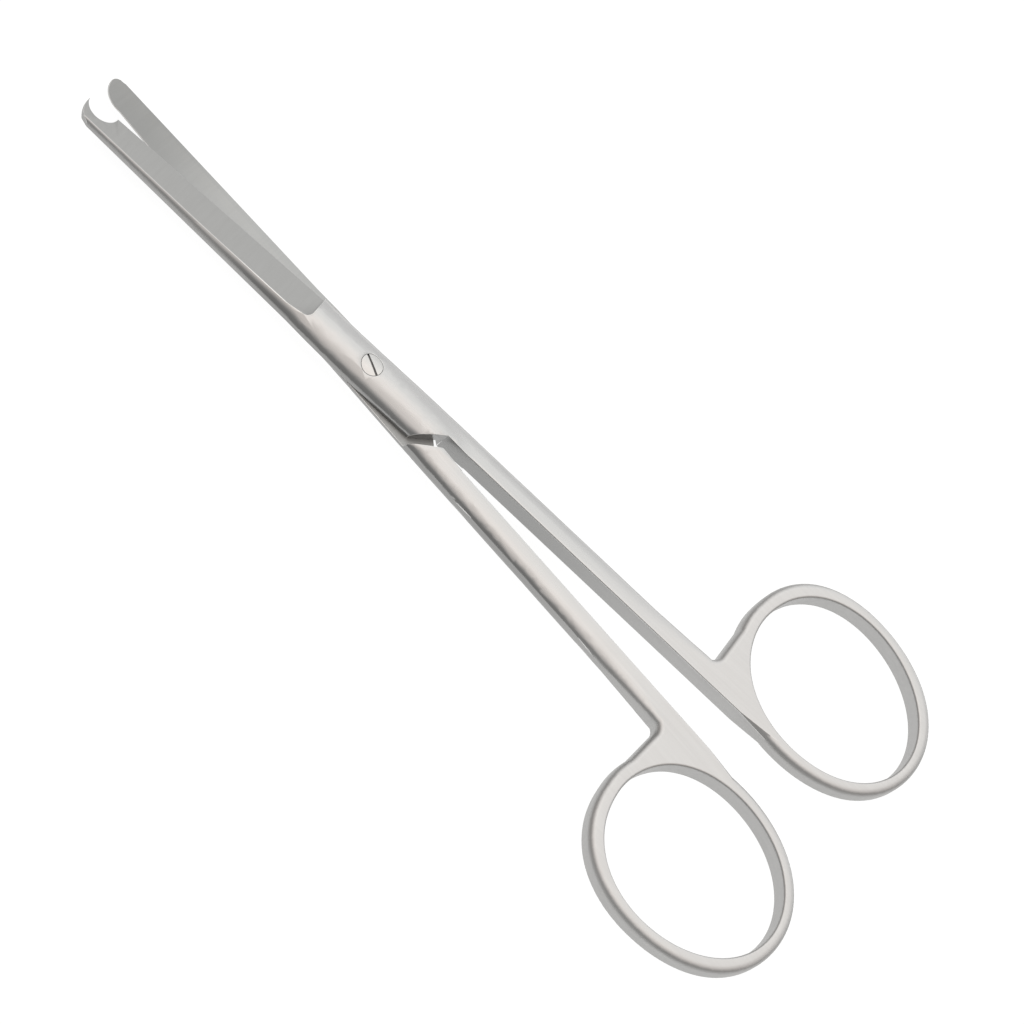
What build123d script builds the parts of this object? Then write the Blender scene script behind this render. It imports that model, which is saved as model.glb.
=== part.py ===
from build123d import *

# Suture scissors: two forged halves on one slotted pivot screw, in millimetres.
# One half has a hooked blade, the other a straight blade with a round tip.
#
# Each half is built closed: the pivot axis is Z at the origin, the blades point along +X, and the two
# halves meet at z = 0. The hook half is built as it lies, with its blade and lap above z = 0 and its
# ring on the -Y side. The straight half is built the same way and turned half a turn about X.
# Both are then swung open by the rest angle, and the whole is set down on z = 0.
import os
from math import cos, pi, radians, sin

# Handles and finger rings
handle_thickness = 2.9      # height of the shanks and rings
shank_width = 3.5           # from the flat inner wall to the rounded outer side
handle_gap = 0.44           # between the two shanks when the scissors are closed
shank_round = 3.0           # how far the rounding reaches in from the shank's outer side
shank_wall = 0.2            # upright strip left between the upper and lower roundings
shank_fade_length = 9.0     # stretch before the crotch where that rounding shrinks to the ring's
inner_edge_break = 0.12     # bevel on the shank's inner edges
ring_reach = 75.43          # pivot axis to the centre of a finger ring
ring_long = 31.2            # outside of the ring along its long axis
ring_wide = 28.2
ring_bulge = 0.3            # how far the ring stands past the line of the shank's inner wall
ring_lean = 3.5             # degrees between the ring's long axis and the scissors' axis
rim_at_ends = 2.0           # ring material between its outside and the finger hole
rim_at_sides = 1.95
finger_hole_lean = 7.5
finger_hole_shift = (-0.2, 0.0)     # hole centre from the ring's centre
oval_taper = 0.05           # how much wider an oval is towards the joint
ring_fullness = 0.023       # how much further out than an ellipse the ring runs between its axes
hole_fullness = 0.01
oval_points = 16
web_setback = 0.32          # how far the web's front edge lies behind the ring's foremost point
web_overlap = 0.15          # how far the crotch's arc starts inside the shank
ring_round = 1.0            # rounding of the ring's outer edges
hole_round = 0.35           # rounding of the finger hole's edges
crotch_radius = 1.5         # where the ring's front leaves the shank

# Lap joint
joint_half_width = 3.4      # on the lap's side
joint_rear_side = 3.62      # from the axis to the joint's other side, behind the screw
joint_front_side = 3.5      # the same, in front of the screw
joint_crest = 1.95          # height of the joint's convex face above the lap plane
crown_drop = 0.5            # how much lower that face is where its side roundings begin
joint_round = 1.1           # how far the side roundings reach in
joint_foot = 0.1            # upright strip at the foot of the side rounding
joint_blend = 4.5           # length over which the shank swells into the joint, behind the lap
lap_end_reach = 13.6        # pivot axis to the lap's end, measured at the inner wall
lap_end_angle = 43.0        # degrees between the lap's end and the scissors' axis
lap_end_gap = 0.75          # closed gap between the upper lap's end and the lower half's shoulder
lap_end_gap_below = 0.25    # the same on the underside, where the other lap ends
lap_clearance = 0.03        # between the two halves at z = 0

# Blades
tip_reach = 50.2            # pivot axis to the blade tips
blade_root = 10.2           # pivot axis to where the ground face begins
root_edge = 3.4             # cutting edge from the axis, at the root
spine_at_root = 3.04        # back of the blade from the axis
hook_spine_at_tip = 2.2
straight_spine_at_tip = 1.86
spine_round_middle = 0.58   # how far the rounding of the back reaches in
spine_round_tip = 0.5
spine_height_middle = 1.23  # height where that rounding begins
spine_height_tip = 0.9
blade_middle = 0.43         # share of the blade, from its root, where the middle height is taken
blank_margin = 0.3          # how far the uncut blank stands past the cutting edge
ground_ridge = 1.8          # ridge of the ground face from the axis
ridge_height_root = 1.52
ridge_height_tip = 0.9
edge_thickness = 0.12       # height of the ground face at the cutting edge, at the tip
ground_corner = 1.1         # corner radius of the ground face at the root
ground_corner_side = 1.45   # where that corner ends, from the axis
ground_run_out = 6.0        # length from the root over which the ground face reaches its full width
ground_run_out_side = 2.2
hollow_depth = 0.05         # of the hollow-ground inner face
hollow_width = 4.2
hollow_start = 7.2          # pivot axis to where the hollow begins

# Hooked tip
notch_radius = 2.28
notch_setback = 2.25        # notch centre back from the tip
notch_offset = 1.85         # notch centre from the axis, on the cutting side
hook_edge = 1.85            # cutting edge from the axis, at the notch
hook_point_drop = 1.3       # the point from the axis, on the cutting side
hook_nose = (1.1, 1.85)     # where the back turns down: back from the tip, and from the axis
hook_bulge = 0.18           # how far the front of the hook lies behind the tip at its middle
hook_back = (3.4, 2.7)      # a point past the spine that the hook's curve runs out to

# Straight tip
straight_edge = 1.85        # cutting edge from the axis, where the tip's curve begins
straight_nose_length = 3.9  # length of that curve
straight_nose_middle = (1.2, -1.25)     # a point on it: back from the tip, and from the axis
straight_tip_offset = 0.5   # foremost point from the axis
straight_front = (0.25, 1.5)            # a point on the front above it
straight_heel = (0.9, 1.75)             # where the front turns back to the spine
straight_back = (3.4, 2.5)

# Pivot screw
screw_diameter = 2.2
head_diameter = 3.15
head_wall = 0.35            # upright side of the head, from its cone up to the joint's crest
head_cone_height = 0.5
screw_clearance = 0.03      # radial, in the hook half
slot_width = 0.32
slot_depth = 0.45
slot_angle = -27.0          # degrees from +X at rest

# Pose at rest
rest_opening = 6.24         # degrees between the halves, from closed

half_handle = handle_thickness / 2
inner_wall = -handle_gap / 2
outer_side = inner_wall - shank_width
reach = 4 * handle_thickness        # taller than any piece, for cutting tools
joint_start = -lap_end_reach - joint_blend


def oval_point(turn, long_axis, wide_axis, lean, fullness):
    """A point of an egg-shaped oval, wider towards the joint and leaning away from the axis there."""
    swell = 1 + fullness * sin(2 * turn) ** 2
    x = long_axis / 2 * cos(turn) * swell
    y = wide_axis / 2 * sin(turn) * swell * (1 + oval_taper * cos(turn))
    angle = radians(-lean)
    return Vector(x * cos(angle) - y * sin(angle), x * sin(angle) + y * cos(angle))


def oval(*shape):
    """The oval as a face, from points at even turns."""
    points = [oval_point(2 * pi * step / oval_points, *shape) for step in range(oval_points)]
    return make_face(Spline(points, periodic=True))


ring_shape = (ring_long, ring_wide, ring_lean, ring_fullness)
hole_shape = (ring_long - 2 * rim_at_ends, ring_wide - 2 * rim_at_sides, finger_hole_lean, hole_fullness)
rim = [oval_point(2 * pi * step / 720, *ring_shape) for step in range(720)]
ring_side = max(rim, key=lambda point: point.Y)
ring_centre = Vector(-ring_reach, inner_wall + ring_bulge - ring_side.Y)
ring_touch = ring_centre.X + ring_side.X
web_front = ring_centre.X + max(point.X for point in rim) - web_setback
crotch_end = web_front + crotch_radius


def upright(outline, low, high):
    """An outline in plan, made a solid from one height to another."""
    return extrude(Pos(0, 0, low) * outline, high - low)


def side_curve(x, y, foot, shoulder, width, slope):
    """Rounding from an upright side up and over to the top face; width is signed."""
    return Edge.make_bezier((x, y, foot), (x, y, shoulder - slope * abs(width)),
                            (x, y + width, shoulder))


def shank_section(x, bevel_in, round_out, wall):
    """The shank's D section: flat inner wall, flat top, rounded outer side."""
    top, foot = half_handle, wall / 2
    y_in, y_out = inner_wall, outer_side
    upper = [Edge.make_line((x, y_in, top - bevel_in), (x, y_in - bevel_in, top)),
             Edge.make_line((x, y_in - bevel_in, top), (x, y_out + round_out, top)),
             side_curve(x, y_out, foot, top, round_out, 0)]
    lower = [edge.mirror(Plane.XY) for edge in upper]
    walls = [Edge.make_line((x, y_in, bevel_in - top), (x, y_in, top - bevel_in)),
             Edge.make_line((x, y_out, -foot), (x, y_out, foot))]
    return Face(Wire(upper + lower + walls))


def crown_section(x, y_out, y_in, crest, drop, round_out, round_in, foot):
    """Section of a half above the lap plane: upright feet, rounded sides, convex top."""
    shoulder = crest - drop
    left, right = y_out + round_out, y_in - round_in
    slope = 4 * drop / (right - left)
    top = Edge.make_bezier((x, left, shoulder), (x, (left + right) / 2, shoulder + 2 * drop),
                           (x, right, shoulder))
    edges = [Edge.make_line((x, y_out, 0), (x, y_in, 0)),
             Edge.make_line((x, y_in, 0), (x, y_in, foot)),
             side_curve(x, y_in, foot, shoulder, -round_in, slope),
             top,
             side_curve(x, y_out, foot, shoulder, round_out, slope),
             Edge.make_line((x, y_out, foot), (x, y_out, 0))]
    return Face(Wire(edges))


def joint_and_blade_blank(spine_at_tip):
    """Everything above the lap plane from the shank to the tip, before its outline is cut."""
    lap_side, crest, drop = joint_half_width, joint_crest, crown_drop
    round_, foot = joint_round, joint_foot
    root, past_tip = blade_root + 2, tip_reach + 1
    middle = root + (past_tip - root) * blade_middle
    spine_at_middle = spine_at_root + (spine_at_tip - spine_at_root) * blade_middle
    cut_side = root_edge + blank_margin
    at_root = crown_section(root, -cut_side, spine_at_root, crest, drop, round_, round_, foot)
    joint = loft([
        crown_section(joint_start, outer_side, lap_side, half_handle, 0, shank_round, round_,
                      shank_wall / 2),
        crown_section(-lap_end_reach / 2, -joint_rear_side, lap_side, crest, drop, round_, round_, foot),
        crown_section(blade_root / 4, -joint_front_side, lap_side, crest, drop, round_, round_, foot),
        at_root,
    ])
    blade = loft([
        at_root,
        crown_section(middle, -cut_side, spine_at_middle, spine_height_middle + drop, drop,
                      round_, spine_round_middle, foot),
        crown_section(past_tip, -cut_side, spine_at_tip, spine_height_tip + drop / 2, drop / 2,
                      round_, spine_round_tip, foot),
    ], ruled=True)
    return joint + blade


def handle():
    """Shank, web and finger ring at full thickness, up to where the joint begins."""
    at_ring = Pos(ring_centre.X, ring_centre.Y)
    ring = upright(at_ring * oval(*ring_shape), -half_handle, half_handle)
    ring = fillet([edge for edge in ring.edges() if edge.is_closed], ring_round)

    web_side = outer_side + web_overlap
    web_inner = inner_wall - shank_width / 2
    corner = web_side - crotch_radius
    web_outline = make_face([
        Line((crotch_end, web_inner), (crotch_end, web_side)),
        RadiusArc((crotch_end, web_side), (web_front, corner), -crotch_radius),
        Line((web_front, corner), (web_front, ring_centre.Y)),
        Line((web_front, ring_centre.Y), (ring_touch, ring_centre.Y)),
        Line((ring_touch, ring_centre.Y), (ring_touch, web_inner)),
        Line((ring_touch, web_inner), (crotch_end, web_inner)),
    ])
    web = upright(web_outline, -half_handle, half_handle)
    front = [edge for edge in web.edges().filter_by(Plane.XY)
             if edge.center().X > web_front - 0.01 and ring_centre.Y < edge.center().Y < web_side + 0.01]
    web = fillet(front, ring_round)

    fade_start = crotch_end + shank_fade_length
    ring_wall_strip = handle_thickness - 2 * ring_round
    bevel = inner_edge_break
    plain = shank_section(fade_start, bevel, shank_round, shank_wall)
    at_crotch = shank_section(crotch_end, bevel, ring_round, ring_wall_strip)
    at_web = shank_section((crotch_end + ring_touch) / 2, bevel, ring_round, ring_wall_strip)
    at_side = shank_section(ring_touch, ring_round, ring_round, ring_wall_strip)
    body = ring + web + extrude(plain, joint_start - fade_start, dir=(1, 0, 0))
    body += loft([plain, at_crotch], ruled=True)
    body += loft([at_crotch, at_web], ruled=True)
    body += loft([at_web, at_side], ruled=True)
    hole = at_ring * Pos(*finger_hole_shift) * oval(*hole_shape)
    body -= upright(hole, -reach, reach)
    rim = [edge for edge in body.edges()
           if edge.is_closed and abs(abs(edge.position_at(0).Z) - half_handle) < 0.01]
    return fillet(rim, hole_round)


def lap_end_line(offset):
    """Where a lap's end meets the inner wall, and the direction it runs in, moved back by offset."""
    angle = radians(lap_end_angle)
    along = Vector(cos(angle), sin(angle))
    across = Vector(-sin(angle), cos(angle))
    return Vector(-lap_end_reach, inner_wall) + across * offset, along


def from_tip(point):
    """A point in plan, given as the distance back from the tip and the distance from the axis."""
    return tip_reach - point[0], point[1]


def hook_tip():
    """Plan of the hooked blade from root to tip, with its half-round notch still uncut."""
    corner, point = (tip_reach, -hook_edge), (tip_reach, -hook_point_drop)
    nose, back = from_tip(hook_nose), from_tip(hook_back)
    front = from_tip((hook_bulge, (hook_nose[1] - hook_point_drop) / 2))
    return [Line((blade_root, -root_edge), corner), Line(corner, point),
            ThreePointArc(point, front, nose), Line(nose, back)], back


def straight_tip():
    """Plan of the straight blade from root to its round tip."""
    start = from_tip((straight_nose_length, -straight_edge))
    tip, heel, back = from_tip((0, straight_tip_offset)), from_tip(straight_heel), from_tip(straight_back)
    return [Line((blade_root, -root_edge), start),
            ThreePointArc(start, from_tip(straight_nose_middle), tip),
            ThreePointArc(tip, from_tip(straight_front), heel), Line(heel, back)], back


def upper_outline(tip):
    """Plan of all that lies above the lap plane, from behind the joint to the blade tip."""
    lap_start, along = lap_end_line(0)
    beyond = joint_half_width + 1
    lap_corner = lap_start + along * ((beyond - inner_wall) / along.Y)
    tip_edges, back = tip()
    far = outer_side - joint_half_width
    corners = [back, (blade_root, beyond), (lap_corner.X, beyond), (lap_start.X, lap_start.Y),
               (joint_start, inner_wall), (joint_start, far), (blade_root, far), (blade_root, -root_edge)]
    return make_face(tip_edges + Polyline(corners).edges())


def shoulder_points(gap):
    """The shoulder's line in plan: where it meets the inner wall, and a point past the outer side."""
    # It faces the other half's lap end, which is this one's turned about X.
    base, along = lap_end_line(gap)
    along = Vector(along.X, -along.Y)
    start = Vector(base.X, -base.Y) + along * ((inner_wall + base.Y) / along.Y)
    return start, start + along * ((shank_width + 1) / -along.Y)


def shoulder_outline(gap):
    """Plan of the half below the lap plane: the shank, ending at the shoulder."""
    start, corner = shoulder_points(gap)
    return make_face(Polyline([(start.X, start.Y), (corner.X, corner.Y), (joint_start, corner.Y),
                               (joint_start, start.Y)], close=True))


def lap_outline(gap):
    """Plan of everything ahead of the shoulder, where the half stops short of the lap plane."""
    start, corner = shoulder_points(gap)
    front = 2 * tip_reach
    return make_face(Polyline([(start.X, start.Y), (corner.X, corner.Y), (front, corner.Y),
                               (front, -corner.Y), (start.X, -corner.Y)], close=True))


def ground_face_tool():
    """What grinding takes off a blade: all above a plane that falls to the cutting edge and the tip."""
    run = tip_reach - blade_root
    along = (ridge_height_tip - ridge_height_root) / run
    across = (ridge_height_tip - edge_thickness) / (ground_ridge + hook_edge)
    height_on_axis = ridge_height_root - across * ground_ridge
    plane = Plane(origin=(blade_root, 0, height_on_axis), x_dir=Vector(1, 0, along),
                  z_dir=Vector(-along, -across, 1))
    front, low, run_out = 2 * tip_reach, -2 * root_edge, blade_root + ground_run_out
    corner_start = (blade_root, ground_corner_side - ground_corner)
    corner_end = (blade_root + ground_corner, ground_corner_side)
    outline = Polyline([corner_end, (run_out, ground_run_out_side), (run_out, reach), (front, reach),
                        (front, low), (blade_root, low), corner_start]).edges()
    outline.append(RadiusArc(corner_start, corner_end, ground_corner))
    above_plane = plane * Pos(0, 0, reach) * Box(4 * tip_reach, 4 * tip_reach, 2 * reach)
    return upright(make_face(outline), 0, reach) & above_plane


def hollow_tool():
    """A shallow trough along the inner face of a blade."""
    radius = (hollow_width**2 / 4 + hollow_depth**2) / (2 * hollow_depth)
    trough = Cylinder(radius, 2 * tip_reach, align=(Align.CENTER, Align.CENTER, Align.MIN))
    return Pos(hollow_start, 0, hollow_depth - radius) * Rot(0, 90, 0) * trough


def half(tip, spine_at_tip, shoulder_gap):
    """One half as it lies with its lap and blade above the lap plane, closed."""
    blank = joint_and_blade_blank(spine_at_tip)
    above = blank & upright(upper_outline(tip), 0, reach)
    above -= ground_face_tool()
    above -= hollow_tool()
    below = mirror(blank, Plane.XY) & upright(shoulder_outline(shoulder_gap), -reach, 0)
    body = handle() + above + below
    return body - upright(lap_outline(shoulder_gap), -reach, lap_clearance / 2)


def hook_half():
    """The half that lies on top, with the countersunk hole and the notch in its tip."""
    body = half(hook_tip, hook_spine_at_tip, lap_end_gap_below)
    notch = Pos(tip_reach - notch_setback, -notch_offset) * Circle(notch_radius)
    body -= upright(notch, -reach, reach)
    body -= screw_shape(screw_clearance, reach)
    return Rot(0, 0, rest_opening / 2) * body


def straight_half():
    """The half that lies underneath, with the bore that holds the screw."""
    body = Rot(180, 0, 0) * half(straight_tip, straight_spine_at_tip, lap_end_gap)
    body -= Cylinder(screw_diameter / 2, 2 * reach)
    return Rot(0, 0, -rest_opening / 2) * body


def screw_shape(clearance, top):
    """The screw before it is ground and slotted, grown by a clearance on every running face."""
    shaft, head = screw_diameter / 2 + clearance, head_diameter / 2 + clearance
    rim = joint_crest - head_wall
    profile = Polyline([(0, -top), (shaft, -top), (shaft, rim - head_cone_height), (head, rim), (head, top),
                        (0, top)], close=True)
    return revolve(Plane.XZ * make_face(profile), Axis.Z)


def pivot_screw():
    """Slotted screw whose head was ground down together with the joint, so that it follows its crown."""
    screw = screw_shape(0, joint_crest)
    crown = Rot(0, 0, rest_opening / 2) * joint_and_blade_blank(hook_spine_at_tip)
    head = screw & crown
    shaft = Pos(0, 0, -joint_crest / 2) * Cylinder(screw_diameter / 2, joint_crest)
    slot = Pos(0, 0, joint_crest) * Rot(0, 0, slot_angle) * Box(
        2 * head_diameter, slot_width, 2 * slot_depth)
    return head + shaft - slot


pieces = {"hook_half": hook_half(), "straight_half": straight_half(), "pivot_screw": pivot_screw()}
box = Compound(list(pieces.values())).bounding_box()
set_down = Pos(-(box.min.X + box.max.X) / 2, -(box.min.Y + box.max.Y) / 2, -box.min.Z)

os.makedirs("parts", exist_ok=True)
for name, piece in pieces.items():
    export_step(set_down * piece, f"parts/{name}.step")
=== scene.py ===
# %% [markdown]
# Suture scissors: two forged stainless halves that turn on one slotted screw. The solids are already
# exact, so the work here is the finish. Every surface of the real pair was polished, ground or
# blasted in some way, and those finishes are what the eye reads. The imported solids are loaded first,
# and the screw's box gives the pivot.

from math import pi, radians

import bmesh
import bpy
from mathutils import Matrix, Vector


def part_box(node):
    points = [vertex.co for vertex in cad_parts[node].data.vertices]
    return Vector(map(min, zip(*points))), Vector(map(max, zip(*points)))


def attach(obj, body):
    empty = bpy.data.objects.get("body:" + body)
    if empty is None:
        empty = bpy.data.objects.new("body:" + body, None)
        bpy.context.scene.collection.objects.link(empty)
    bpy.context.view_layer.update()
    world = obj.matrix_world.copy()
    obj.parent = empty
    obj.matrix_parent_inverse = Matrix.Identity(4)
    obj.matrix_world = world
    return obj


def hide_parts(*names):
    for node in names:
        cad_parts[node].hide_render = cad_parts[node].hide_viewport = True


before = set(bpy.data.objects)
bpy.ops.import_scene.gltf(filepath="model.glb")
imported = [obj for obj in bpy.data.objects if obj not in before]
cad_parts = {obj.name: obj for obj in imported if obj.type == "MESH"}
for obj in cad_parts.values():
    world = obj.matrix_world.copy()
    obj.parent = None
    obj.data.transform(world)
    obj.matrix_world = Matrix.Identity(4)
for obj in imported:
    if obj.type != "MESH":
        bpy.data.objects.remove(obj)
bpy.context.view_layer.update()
MM = 0.001

screw_low, screw_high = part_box("pivot_screw")
pivot = (screw_low + screw_high) / 2
lap_height = pivot.z
print("pivot at", [round(value / MM, 2) for value in pivot], "mm")

# %% [markdown]
# The photograph looks down on the scissors from the side of the straight half's ring, through a long
# lens, with the tips towards the top left. A camera aimed at one point and then rolled about its line
# of sight repeats that, and its numbers can each be read.

# %% Camera
photo_width = 1024
lens_pixels = 4002.0

camera = bpy.data.objects.new("camera", bpy.data.cameras.new("camera"))
bpy.context.scene.collection.objects.link(camera)
bpy.context.scene.camera = camera
camera.data.sensor_width = 36.0
camera.data.lens = camera.data.sensor_width * lens_pixels / photo_width

camera_at = Vector((25.35, 313.72, 420.23)) * MM
look_at = Vector((-6.61, -0.99, 1.97)) * MM
camera_roll = radians(50.4)
aim = (look_at - camera_at).to_track_quat("-Z", "Y").to_matrix().to_4x4()
camera.matrix_world = Matrix.Translation(camera_at) @ aim @ Matrix.Rotation(camera_roll, 4, "Z")
camera.data.clip_start, camera.data.clip_end = 0.01, 10
print("lens", round(camera.data.lens, 1), "mm, distance", round((look_at - camera_at).length, 3), "m")

# %% [markdown]
# Bare metal has hardly any colour of its own: it shows the room. A photographer's tent is bright
# above and behind the object, where the top faces look, and dim behind the camera, which gives the
# dark band down the near side of the joint. The world does this with one gradient along a fixed
# direction. A second one makes it a little cooler behind the object and warmer towards the camera. A
# large lamp from the bright side gives the soft shadow, and a white card low on that side lights the
# faces that turn away from the camera.

# %% Small helpers for node trees
def put(tree, kind, **settings):
    """A new node, with its properties set by name and its inputs by socket name or number."""
    node = tree.nodes.new(kind)
    for key, value in settings.items():
        if key == "inputs":
            for name, content in value.items():
                if isinstance(content, bpy.types.NodeSocket):
                    tree.links.new(content, node.inputs[name])
                else:
                    node.inputs[name].default_value = content
        else:
            setattr(node, key, value)
    return node


def maths(tree, operation, *values):
    """The result of a Math node on numbers or sockets."""
    return put(tree, "ShaderNodeMath", operation=operation, inputs=dict(enumerate(values))).outputs[0]


def ramp(tree, value, stops):
    """A colour ramp through (place, colour) stops."""
    node = put(tree, "ShaderNodeValToRGB", inputs={"Fac": value})
    points = node.color_ramp.elements
    while len(points) < len(stops):
        points.new(0.5)
    for point, (place, colour) in zip(points, stops):
        point.position, point.color = place, (*colour, 1)
    return node.outputs["Color"]


# %% World and lamp
world = bpy.data.worlds.new("studio")
bpy.context.scene.world = world
world.use_nodes = True
tree = world.node_tree
tree.nodes.clear()

bright_side = Vector((0.03, -0.3, 0.954)).normalized()
tent_stops = [  # from straight away from the bright side to straight towards it
    (0.0, (0.44, 0.44, 0.435)), (0.5, (0.42, 0.418, 0.415)), (0.78, (0.47, 0.465, 0.46)),
    (0.86, (0.55, 0.545, 0.54)), (0.95, (0.765, 0.762, 0.752)), (1.0, (0.96, 0.95, 0.93))]
tint_stops = [  # from behind the object to behind the camera
    (0.0, (0.97, 0.99, 1.005)), (0.2, (0.99, 1.0, 1.0)), (0.36, (1.03, 0.985, 0.96)),
    (0.6, (1.04, 0.985, 0.955)), (0.85, (1.0, 1.0, 1.0))]
card_side = Vector((0.0, -0.98, 0.2))
card_rim, card_middle, card_light = 0.78, 0.97, 0.33

direction = put(tree, "ShaderNodeTexCoord").outputs["Generated"]
towards = put(tree, "ShaderNodeVectorMath", operation="DOT_PRODUCT",
              inputs={0: direction, 1: bright_side}).outputs["Value"]
tent = ramp(tree, maths(tree, "MULTIPLY_ADD", towards, 0.5, 0.5), tent_stops)
beside = put(tree, "ShaderNodeVectorMath", operation="DOT_PRODUCT",
             inputs={0: direction, 1: card_side}).outputs["Value"]
card = put(tree, "ShaderNodeMapRange", interpolation_type="SMOOTHSTEP", inputs={
    "Value": beside, "From Min": card_rim, "From Max": card_middle,
    "To Min": 0.0, "To Max": card_light}).outputs["Result"]
across = put(tree, "ShaderNodeSeparateXYZ", inputs={0: direction}).outputs["Y"]
tint = ramp(tree, maths(tree, "MULTIPLY_ADD", across, 0.5, 0.5), tint_stops)
tinted_tent = put(tree, "ShaderNodeVectorMath", operation="MULTIPLY", inputs={0: tent, 1: tint}).outputs[0]
lit = put(tree, "ShaderNodeVectorMath", operation="ADD", inputs={0: tinted_tent, 1: card}).outputs[0]
background = put(tree, "ShaderNodeBackground", inputs={"Color": lit, "Strength": 1.0})
put(tree, "ShaderNodeOutputWorld", inputs={"Surface": background.outputs[0]})


def softbox(name, place, size, radiance):
    """A square area lamp aimed at the scissors; a radiance of 1 shows white in a mirror."""
    data = bpy.data.lights.new(name, "AREA")
    data.size = size
    data.energy = radiance * pi * size * size
    lamp = bpy.data.objects.new(name, data)
    bpy.context.scene.collection.objects.link(lamp)
    lamp.matrix_world = Matrix.Translation(place) @ (-place).to_track_quat("-Z", "Y").to_matrix().to_4x4()


softbox("key", place=Vector((0.15, -0.45, 0.95)), size=0.9, radiance=0.25)

# %% [markdown]
# The floor is a plain pale sheet. Its own colour and a little added light for the rays that reach the
# camera, or reach it by way of a reflection, bring it to white, and the object's soft shadow stays.

# %% Floor
half_floor = 1.5
added_light, added_share = 1.22, 0.74
paper_white = (0.92, 0.92, 0.92, 1)

floor_mesh = bpy.data.meshes.new("floor")
corners = [(x * half_floor, y * half_floor, 0) for x, y in ((-1, -1), (1, -1), (1, 1), (-1, 1))]
floor_mesh.from_pydata(corners, [], [(0, 1, 2, 3)])
floor = bpy.data.objects.new("floor", floor_mesh)
bpy.context.scene.collection.objects.link(floor)

paper = bpy.data.materials.new("pale_floor")
paper.use_nodes = True
tree = paper.node_tree
tree.nodes.clear()
rays = put(tree, "ShaderNodeLightPath")
seen = maths(tree, "MAXIMUM", rays.outputs["Is Camera Ray"],
             maths(tree, "MAXIMUM", rays.outputs["Is Glossy Ray"], rays.outputs["Is Transmission Ray"]))
lift = put(tree, "ShaderNodeEmission", inputs={"Strength": added_light})
sheet = put(tree, "ShaderNodeBsdfDiffuse", inputs={"Color": paper_white})
lifted = maths(tree, "MULTIPLY", seen, added_share)
both = put(tree, "ShaderNodeMixShader", inputs={0: lifted, 1: sheet.outputs[0], 2: lift.outputs[0]})
put(tree, "ShaderNodeOutputMaterial", inputs={"Surface": both.outputs[0]})
floor_mesh.materials.append(paper)

# %% [markdown]
# Polishing leaves grain: faint lines along the stroke, and slow clouds where the wheel pressed more.
# The blades' ground faces have it too, finer and straight across. One shader group makes it for every
# finish, from stretched noise, and gives back a tone, a roughness change and a height.

# %% Shader group: steel grain
def new_group(name, inputs, outputs, kind="ShaderNodeTree"):
    """An empty node group with named sockets, and its two end nodes."""
    group = bpy.data.node_groups.new(name, kind)
    for label, socket_kind, value in inputs:
        socket = group.interface.new_socket(label, in_out="INPUT", socket_type=socket_kind)
        if value is not None:
            socket.default_value = value
    for label, socket_kind in outputs:
        group.interface.new_socket(label, in_out="OUTPUT", socket_type=socket_kind)
    return group, group.nodes.new("NodeGroupInput"), group.nodes.new("NodeGroupOutput")


grain, ends_in, ends_out = new_group(
    "steel_grain",
    [("Vector", "NodeSocketVector", None), ("Stretch", "NodeSocketVector", (40, 2600, 2600)),
     ("Cloud Size", "NodeSocketFloat", 180.0), ("Line Strength", "NodeSocketFloat", 0.5),
     ("Cloud Strength", "NodeSocketFloat", 0.5)],
    [("Tone", "NodeSocketFloat"), ("Roughness", "NodeSocketFloat"), ("Height", "NodeSocketFloat")])
stretched = put(grain, "ShaderNodeVectorMath", operation="MULTIPLY",
                inputs={0: ends_in.outputs["Vector"], 1: ends_in.outputs["Stretch"]}).outputs[0]
lines = put(grain, "ShaderNodeTexNoise", inputs={
    "Vector": stretched, "Scale": 1.0, "Detail": 3.0, "Roughness": 0.65}).outputs["Fac"]
clouds = put(grain, "ShaderNodeTexNoise", inputs={
    "Vector": ends_in.outputs["Vector"], "Scale": ends_in.outputs["Cloud Size"], "Detail": 4.0,
    "Roughness": 0.55}).outputs["Fac"]
line_part = maths(grain, "MULTIPLY", maths(grain, "SUBTRACT", lines, 0.5), ends_in.outputs["Line Strength"])
cloud_part = maths(grain, "MULTIPLY", maths(grain, "SUBTRACT", clouds, 0.5), ends_in.outputs["Cloud Strength"])
grain.links.new(maths(grain, "ADD", line_part, cloud_part), ends_out.inputs["Tone"])
grain.links.new(maths(grain, "SUBTRACT", cloud_part, line_part), ends_out.inputs["Roughness"])
grain.links.new(line_part, ends_out.inputs["Height"])

# %% [markdown]
# Only the faces that lie up or down keep the bright colour; the walls get a darker one, painted shade,
# so that the tone drops where the surface turns over an edge. A second group makes that mask from the
# surface's own direction, and a slow noise keeps its border from being ruled.

# %% Shader group: painted wall shade
border_scale, border_waver = 300.0, 0.06
# painted shade: the group's output is 1 on the walls, which then take the darker wall colour
wall_shade_group, ends_in, ends_out = new_group(
    "painted_wall_shade",
    [("Normal", "NodeSocketVector", None), ("Vector", "NodeSocketVector", None),
     ("Wall Below", "NodeSocketFloat", 0.72), ("Unshaded Above", "NodeSocketFloat", 0.95)],
    [("Wall", "NodeSocketFloat")])
upright = put(wall_shade_group, "ShaderNodeSeparateXYZ", inputs={0: ends_in.outputs["Normal"]}).outputs["Z"]
waver = put(wall_shade_group, "ShaderNodeTexNoise", inputs={
    "Vector": ends_in.outputs["Vector"], "Scale": border_scale, "Detail": 2.0}).outputs["Fac"]
leaning = maths(wall_shade_group, "MULTIPLY_ADD", maths(wall_shade_group, "SUBTRACT", waver, 0.5), border_waver,
                maths(wall_shade_group, "ABSOLUTE", upright))
side_shade = put(wall_shade_group, "ShaderNodeMapRange", interpolation_type="SMOOTHSTEP", inputs={
    "Value": leaning, "From Min": ends_in.outputs["Wall Below"], "From Max": ends_in.outputs["Unshaded Above"],
    "To Min": 1.0, "To Max": 0.0}).outputs["Result"]
wall_shade_group.links.new(side_shade, ends_out.inputs["Wall"])

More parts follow.
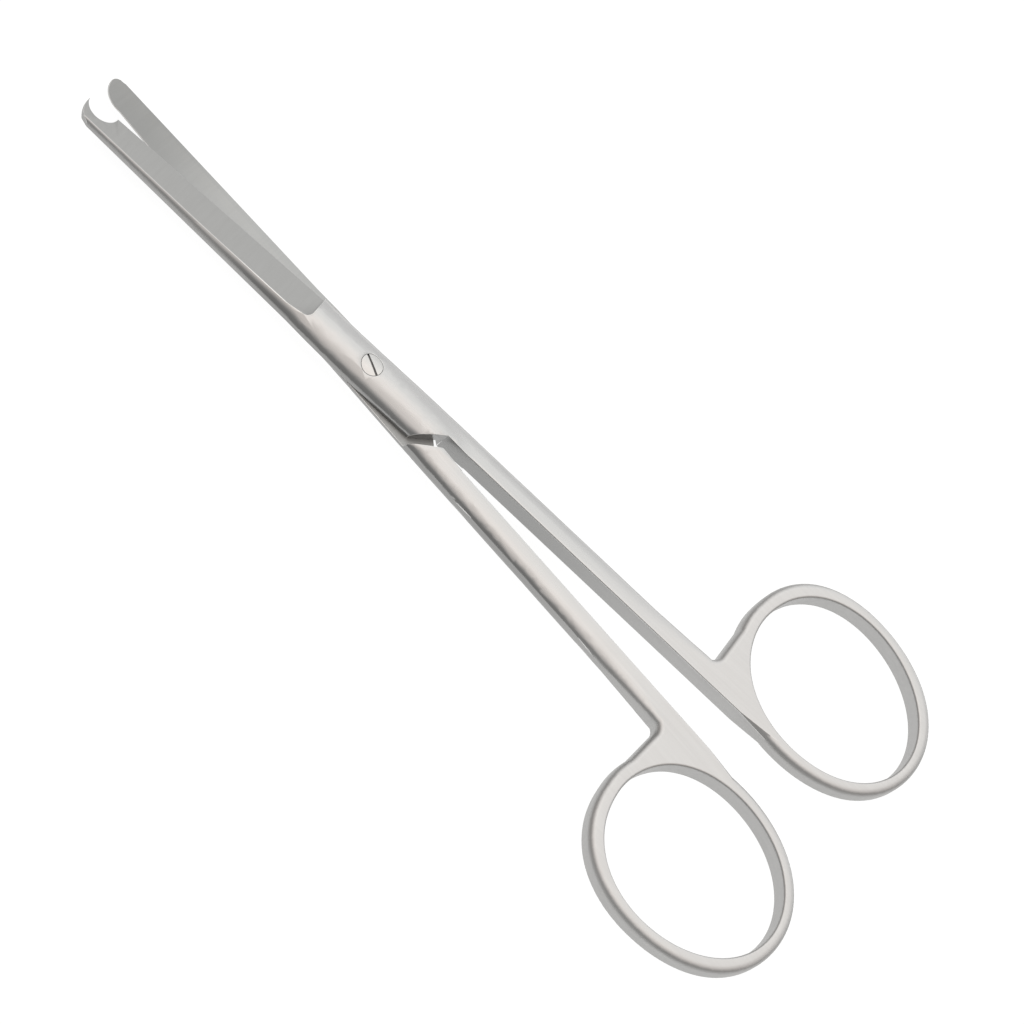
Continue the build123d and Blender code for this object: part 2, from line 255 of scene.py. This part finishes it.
# %% [markdown]
# The finishes differ only in colour, grain and gloss, so one function builds each from its numbers. The
# grain moves the tone and the gloss up and down. Some finishes change along the scissors too: the
# shanks and rings are paler and duller than the joint, and the inner faces darken towards the tips.

# %% Finishes
ROUGH_RANGE = 0.25
WALL_SHADE_FADE = 0.18
DENT_DEPTH = 0.02 * MM


def steel(name, colour, wall_shade_colour, roughness, stretch, lines, clouds, bump, tone_range=0.12, turn=0.0,
          along=()):
    """A bare steel finish. stretch is the grain's frequency per metre along X, Y and Z; wall_shade_colour is
    painted shade on the walls.

    Each entry of along is (from X, to X, colour factor, roughness added): beyond the second X the finish
    has changed by that much, and its painted wall shade is a little weaker.
    """
    material = bpy.data.materials.new(name)
    material.use_nodes = True
    tree = material.node_tree
    shader = tree.nodes["Principled BSDF"]
    shader.inputs["Metallic"].default_value = 1.0
    texture = put(tree, "ShaderNodeTexCoord")
    place = texture.outputs["Object"]
    placed = put(tree, "ShaderNodeMapping", inputs={"Vector": place, "Rotation": (0, 0, turn)}).outputs[0]
    pattern = put(tree, "ShaderNodeGroup", node_tree=grain, inputs={
        "Vector": placed, "Stretch": stretch, "Line Strength": lines, "Cloud Strength": clouds})
    factor = maths(tree, "MULTIPLY_ADD", pattern.outputs["Tone"], tone_range, 1.0)
    rough = maths(tree, "MULTIPLY_ADD", pattern.outputs["Roughness"], ROUGH_RANGE, roughness)
    wall_darkening = put(tree, "ShaderNodeGroup", node_tree=wall_shade_group, inputs={
        "Normal": texture.outputs["Normal"], "Vector": place}).outputs["Wall"]
    down = put(tree, "ShaderNodeSeparateXYZ", inputs={0: place}).outputs["X"]
    for from_x, to_x, far_tone, far_rough in along:
        far = put(tree, "ShaderNodeMapRange", interpolation_type="SMOOTHSTEP", inputs={
            "Value": down, "From Min": from_x, "From Max": to_x}).outputs["Result"]
        factor = maths(tree, "MULTIPLY", factor, maths(tree, "MULTIPLY_ADD", far, far_tone - 1.0, 1.0))
        rough = maths(tree, "MULTIPLY_ADD", far, far_rough, rough)
        wall_darkening = maths(tree, "MULTIPLY", wall_darkening, maths(tree, "MULTIPLY_ADD", far, -WALL_SHADE_FADE, 1.0))
    # painted shade: the walls are mixed towards the darker wall colour
    plain = put(tree, "ShaderNodeMix", data_type="RGBA",
                inputs={0: wall_darkening, 6: (*colour, 1), 7: (*wall_shade_colour, 1)})
    tinted = put(tree, "ShaderNodeVectorMath", operation="SCALE",
                 inputs={0: plain.outputs[2], "Scale": factor}).outputs[0]
    tree.links.new(tinted, shader.inputs["Base Color"])
    tree.links.new(rough, shader.inputs["Roughness"])
    dents = put(tree, "ShaderNodeBump", inputs={
        "Strength": bump, "Distance": DENT_DEPTH, "Height": pattern.outputs["Height"]}).outputs[0]
    tree.links.new(dents, shader.inputs["Normal"])
    return material


half_turn = radians(3.12)  # each half stands this far open from the X axis
# painted shade colour for the walls of the ground and hollow faces and of the screw
shaded_wall_grey = (0.40, 0.40, 0.40)
finishes = {}
for body, turn in (("hook", -half_turn), ("straight", half_turn)):
    finishes[body] = [
        steel(f"satin_{body}", colour=(0.67, 0.663, 0.655), wall_shade_colour=(0.335, 0.335, 0.33), roughness=0.25,
              stretch=(60, 2400, 2400), lines=0.4, clouds=0.9, bump=0.06, tone_range=0.16, turn=turn,
              along=((-0.01, -0.04, 1.25, 0.24), (0.036, 0.046, 1.12, 0.28))),
        steel(f"ground_{body}", colour=(0.51, 0.51, 0.502), wall_shade_colour=shaded_wall_grey, roughness=0.46,
              stretch=(3200, 160, 160), lines=0.5, clouds=0.5, bump=0.15, turn=turn),
        steel(f"hollow_{body}", colour=(0.49, 0.495, 0.49), wall_shade_colour=shaded_wall_grey, roughness=0.36,
              stretch=(2600, 120, 120), lines=0.4, clouds=0.5, bump=0.1, turn=turn,
              along=((0.045, 0.063, 0.76, 0.04),)),
        # painted highlight: the broken edges take a paler colour than the satin faces
        steel(f"edge_{body}", colour=(0.93, 0.925, 0.915), wall_shade_colour=(0.80, 0.80, 0.79), roughness=0.36,
              stretch=(500, 500, 500), lines=0.5, clouds=0.5, bump=0.05, turn=turn,
              along=((0.036, 0.046, 0.8, 0.1),)),
    ]
print("finishes:", [material.name for made in finishes.values() for material in made])

# %% [markdown]
# The solids come as loose flat triangles. A copy has its corners joined, so that it can be shaded
# smooth, and its crisp edges broken by a few hundredths of a millimetre, as handling and polishing
# break them. The broken edge is geometry, so it catches the light from any side; its faces also take a
# paler colour, a painted highlight.

# %% Finish one half
SATIN, GROUND, HOLLOW, EDGE_HIGHLIGHT = range(4)
CRISP = radians(31)  # an edge that turns more than this is crisp
FLAT = radians(0.05)
SAME_WAY = radians(2)
CORNER_WELD = 0.002 * MM
EDGE_BREAK = 0.06 * MM
SHORTEST_EDGE, SHORTEST_RUN = 0.03 * MM, 1.5 * MM
NEAR_LAP, NEAR_PANEL = 0.08 * MM, 0.15 * MM  # how far a face may lie from that plane
FACES_LAP = 0.9


def joined_copy(node):
    """A mesh editor holding the node's solid with its corners joined and flat patches made one face."""
    work = bmesh.new()
    work.from_mesh(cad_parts[node].data)
    bmesh.ops.remove_doubles(work, verts=work.verts, dist=CORNER_WELD)
    bmesh.ops.dissolve_degenerate(work, edges=work.edges, dist=CORNER_WELD)
    bmesh.ops.dissolve_limit(work, angle_limit=FLAT, verts=work.verts, edges=work.edges)
    return work


def finished_piece(name, work, materials):
    """The edited mesh as an object, smooth but for its crisp edges."""
    mesh = bpy.data.meshes.new(name)
    bmesh.ops.triangulate(work, faces=[face for face in work.faces if len(face.verts) > 4])
    work.to_mesh(mesh)
    work.free()
    for material in materials:
        mesh.materials.append(material)
    piece = bpy.data.objects.new(name, mesh)
    bpy.context.scene.collection.objects.link(piece)
    mesh.shade_smooth()
    mesh.set_sharp_from_angle(angle=CRISP)
    weigh = piece.modifiers.new("even_shading", "WEIGHTED_NORMAL")
    weigh.keep_sharp, weigh.mode = True, "FACE_AREA"
    shaped = piece.evaluated_get(bpy.context.evaluated_depsgraph_get())
    piece.data = bpy.data.meshes.new_from_object(shaped)
    piece.data.name = name
    piece.modifiers.clear()
    print(name, len(piece.data.polygons), "faces")
    return piece


def long_runs(edges, least):
    """Only the edges that belong to a connected run of at least that length."""
    left, kept = set(edges), []
    while left:
        run, front = set(), [left.pop()]
        while front:
            edge_highlight = front.pop()
            run.add(edge_highlight)
            for corner in edge_highlight.verts:
                beside = {other for other in corner.link_edges if other in left}
                left -= beside
                front.extend(beside)
        if sum(edge_highlight.calc_length() for edge_highlight in run) >= least:
            kept.extend(run)
    return sorted(kept, key=lambda edge_highlight: edge_highlight.index)


def half_piece(node, name, materials, up):
    """One half: its faces sorted by finish, its edges broken. up is 1 if its blade lies on top."""
    work = joined_copy(node)
    blade_start = pivot.x + 9 * MM
    well_along = blade_start + 11 * MM
    blade = [face for face in work.faces if face.calc_center_median().x > well_along]
    widest = max((face for face in blade if face.normal.z * up > 0.5), key=lambda face: face.calc_area())
    ground_normal = widest.normal.copy()
    on_panel = widest.calc_center_median()
    flat_lap = [face for face in work.faces if abs(face.calc_center_median().z - lap_height) < NEAR_LAP]
    edges_and_corners = {part for face in flat_lap for part in (*face.edges, *face.verts)}
    bmesh.ops.bisect_plane(work, geom=[*flat_lap, *edges_and_corners], plane_co=(blade_start, 0, 0),
                           plane_no=(1, 0, 0))
    for face in work.faces:
        middle = face.calc_center_median()
        in_panel = abs((middle - on_panel).dot(ground_normal)) < NEAR_PANEL
        if middle.x > blade_start and in_panel and face.normal.angle(ground_normal) < SAME_WAY:
            face.material_index = GROUND
        # The lap faces before blade_start take the darker ground finish: a ground lap, and painted shade on
        # the ledge and channel between the halves.
        elif abs(middle.z - lap_height) < NEAR_LAP and face.normal.z * up < -FACES_LAP:
            face.material_index = HOLLOW if middle.x > blade_start else GROUND
    work.edges.index_update()
    crisp = long_runs([edge_highlight for edge_highlight in work.edges if len(edge_highlight.link_faces) == 2
                       and edge_highlight.calc_length() > SHORTEST_EDGE and edge_highlight.calc_face_angle_signed(0) > CRISP],
                      SHORTEST_RUN)
    # painted highlight: the new edge faces take the paler edge finish
    made = bmesh.ops.bevel(work, geom=crisp, offset=EDGE_BREAK, offset_type="OFFSET", segments=2, profile=0.5,
                           affect="EDGES", clamp_overlap=False, material=EDGE_HIGHLIGHT)
    print(node, "edges broken:", len(crisp), "new faces:", len(made["faces"]))
    return finished_piece(name, work, materials)


hook = half_piece("hook_half", "hook_blade_half", finishes["hook"], 1)
straight = half_piece("straight_half", "straight_blade_half", finishes["straight"], -1)
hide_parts("hook_half")
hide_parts("straight_half")

# %% [markdown]
# The screw is a turned part: a straight shaft, a cone under the head, and a head that was ground down
# together with the joint, so that its top has the joint's own crown. Such a shape follows a rule, so a
# Geometry Nodes tree makes it. A grid is rolled round the pivot: its columns are the stations of the
# lathe's profile, and its rows the steps of the turn. The crown lowers the top by the square of the
# distance across it, and a block then cuts the slot. Each size is an input with its own name.

# %% Screw profile, station by station
def rolled_profile(tree, station, turn, radii, heights, crown, first_crowned):
    """A point at each station's radius and height, turned about Z. The crown lowers the last stations."""
    chosen = []
    for values in (radii, heights):
        pick = put(tree, "GeometryNodeIndexSwitch", data_type="FLOAT", inputs={"Index": station})
        while len(pick.index_switch_items) < len(values):
            pick.index_switch_items.new()
        for number, value in enumerate(values):
            if isinstance(value, bpy.types.NodeSocket):
                tree.links.new(value, pick.inputs[number + 1])
            else:
                pick.inputs[number + 1].default_value = value
        chosen.append(pick.outputs[0])
    radius, height = chosen
    x = maths(tree, "MULTIPLY", radius, maths(tree, "COSINE", turn))
    y = maths(tree, "MULTIPLY", radius, maths(tree, "SINE", turn))
    on_top = maths(tree, "GREATER_THAN", station, first_crowned - 0.5)
    lowered = maths(tree, "MULTIPLY", on_top, crown(x, y))
    return put(tree, "ShaderNodeCombineXYZ", inputs={
        0: x, 1: y, 2: maths(tree, "SUBTRACT", height, lowered)}).outputs[0]


# %% Geometry Nodes tree: slotted screw
tree, ends_in, ends_out = new_group(
    "slotted_screw",
    [(label, "NodeSocketFloat", None) for label in (
        "Shaft Diameter", "Head Diameter", "Length", "Head Wall", "Cone Height", "Edge Break", "Crown Fall",
        "Crown Centre", "Crown Turn", "Slot Width", "Slot Depth", "Slot Turn")]
    + [("Segments", "NodeSocketInt", 96), ("Steel", "NodeSocketMaterial", None)],
    [("Geometry", "NodeSocketGeometry")], "GeometryNodeTree")
given = ends_in.outputs
shaft = maths(tree, "MULTIPLY", given["Shaft Diameter"], 0.5)
head = maths(tree, "MULTIPLY", given["Head Diameter"], 0.5)
inner = maths(tree, "SUBTRACT", head, given["Edge Break"])
foot = maths(tree, "MULTIPLY", given["Length"], -1.0)
rim = maths(tree, "MULTIPLY", given["Head Wall"], -1.0)
neck = maths(tree, "SUBTRACT", rim, given["Cone Height"])
broken = maths(tree, "MULTIPLY", given["Edge Break"], -1.0)
top_radii = [inner] + [maths(tree, "MULTIPLY", inner, part) for part in (0.75, 0.5, 0.25)] + [0.0]
radii = [0.0, shaft, shaft, head, head, *top_radii]
heights = [foot, foot, neck, rim, broken, *[0.0] * len(top_radii)]
last = len(radii) - 1
first_crowned = heights.index(broken)

grid = put(tree, "GeometryNodeMeshGrid", inputs={
    "Size X": float(last), "Size Y": 1.0, "Vertices X": last + 1,
    "Vertices Y": maths(tree, "ADD", given["Segments"], 1.0)})
where = put(tree, "ShaderNodeSeparateXYZ", inputs={0: put(tree, "GeometryNodeInputPosition").outputs[0]})
station = maths(tree, "ROUND", maths(tree, "ADD", where.outputs["X"], last / 2))
turn = maths(tree, "MULTIPLY_ADD", where.outputs["Y"], -2 * pi, pi)


def crown(x, y):
    """How far the joint's convex top has fallen from its crest, at a place beside the pivot."""
    across = maths(tree, "SUBTRACT", maths(tree, "MULTIPLY", y, maths(tree, "COSINE", given["Crown Turn"])),
                   maths(tree, "MULTIPLY", x, maths(tree, "SINE", given["Crown Turn"])))
    off_crest = maths(tree, "ABSOLUTE", maths(tree, "SUBTRACT", across, given["Crown Centre"]))
    return maths(tree, "MULTIPLY", given["Crown Fall"], maths(tree, "POWER", off_crest, 2.0))


placed = put(tree, "GeometryNodeSetPosition", inputs={
    "Geometry": grid.outputs["Mesh"],
    "Position": rolled_profile(tree, station, turn, radii, heights, crown, first_crowned)})
closed = put(tree, "GeometryNodeMergeByDistance",
             inputs={"Geometry": placed.outputs[0], "Distance": CORNER_WELD})
block = put(tree, "GeometryNodeMeshCube", inputs={"Size": put(tree, "ShaderNodeCombineXYZ", inputs={
    0: maths(tree, "MULTIPLY", given["Head Diameter"], 2.0), 1: given["Slot Width"],
    2: maths(tree, "MULTIPLY", given["Slot Depth"], 2.0)}).outputs[0]})
turned = put(tree, "GeometryNodeTransform", inputs={
    "Geometry": block.outputs["Mesh"],
    "Rotation": put(tree, "ShaderNodeCombineXYZ", inputs={2: given["Slot Turn"]}).outputs[0]})
slotted = put(tree, "GeometryNodeMeshBoolean", operation="DIFFERENCE", solver="EXACT",
              inputs={"Mesh 1": closed.outputs[0], "Mesh 2": turned.outputs[0]})
real = put(tree, "GeometryNodeRealizeInstances", inputs={0: slotted.outputs[0]})
painted = put(tree, "GeometryNodeSetMaterial",
              inputs={"Geometry": real.outputs[0], "Material": given["Steel"]})
tree.links.new(painted.outputs[0], ends_out.inputs["Geometry"])
print("screw tree:", len(tree.nodes), "nodes,", last + 1, "stations")

# %% Screw
screw_steel = steel("screw_steel", colour=(0.72, 0.71, 0.695), wall_shade_colour=shaded_wall_grey, roughness=0.27,
                    stretch=(900, 900, 900), lines=0.5, clouds=0.5, bump=0.1)

# The joint's top is an arch. In mm: how far it reaches from the pivot on its outer side and on the lap's,
# how far the rounding of its rims comes in, and how high the arch stands over them.
outer_reach, lap_reach, rim_round, arch_height = 3.56, 3.4, 1.1, 0.5
arch_width = outer_reach + lap_reach - 2 * rim_round
screw_sizes = {
    "Shaft Diameter": 2.2 * MM, "Head Diameter": 3.15 * MM, "Length": screw_high.z - screw_low.z,
    "Head Wall": 0.35 * MM, "Cone Height": 0.5 * MM, "Edge Break": 0.03 * MM,
    "Crown Fall": 4 * arch_height / arch_width ** 2 / MM, "Crown Centre": (lap_reach - outer_reach) / 2 * MM,
    "Crown Turn": half_turn, "Slot Width": 0.32 * MM, "Slot Depth": 0.45 * MM, "Slot Turn": radians(-27),
    "Steel": screw_steel}
screw = bpy.data.objects.new("slotted_screw", bpy.data.meshes.new("start"))
bpy.context.scene.collection.objects.link(screw)
maker = screw.modifiers.new("maker", "NODES")
maker.node_group = tree
for item in tree.interface.items_tree:
    if item.in_out == "INPUT" and item.name in screw_sizes:
        maker[item.identifier] = screw_sizes[item.name]
shaped = screw.evaluated_get(bpy.context.evaluated_depsgraph_get())
turned_mesh = bpy.data.meshes.new_from_object(shaped)
turned_mesh.transform(Matrix.Translation((pivot.x, pivot.y, screw_high.z)))
bpy.data.objects.remove(screw)

work = bmesh.new()
work.from_mesh(turned_mesh)
bmesh.ops.remove_doubles(work, verts=work.verts, dist=0.001 * MM)
bmesh.ops.recalc_face_normals(work, faces=work.faces)
print("open edges:", sum(len(edge_highlight.link_faces) != 2 for edge_highlight in work.edges),
      "volume in mm3:", round(work.calc_volume() / MM ** 3, 2))
screw = finished_piece("slotted_screw", work, [screw_steel])
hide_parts("pivot_screw")

# %% [markdown]
# Each piece rides on its solid's body.

# %% Bodies
for piece, body, slot in ((hook, "hook_half", "stainless"), (straight, "straight_half", "stainless"),
                          (screw, "straight_half", "screw_steel")):
    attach(piece, body)

bpy.context.scene.view_settings.view_transform = "Standard"
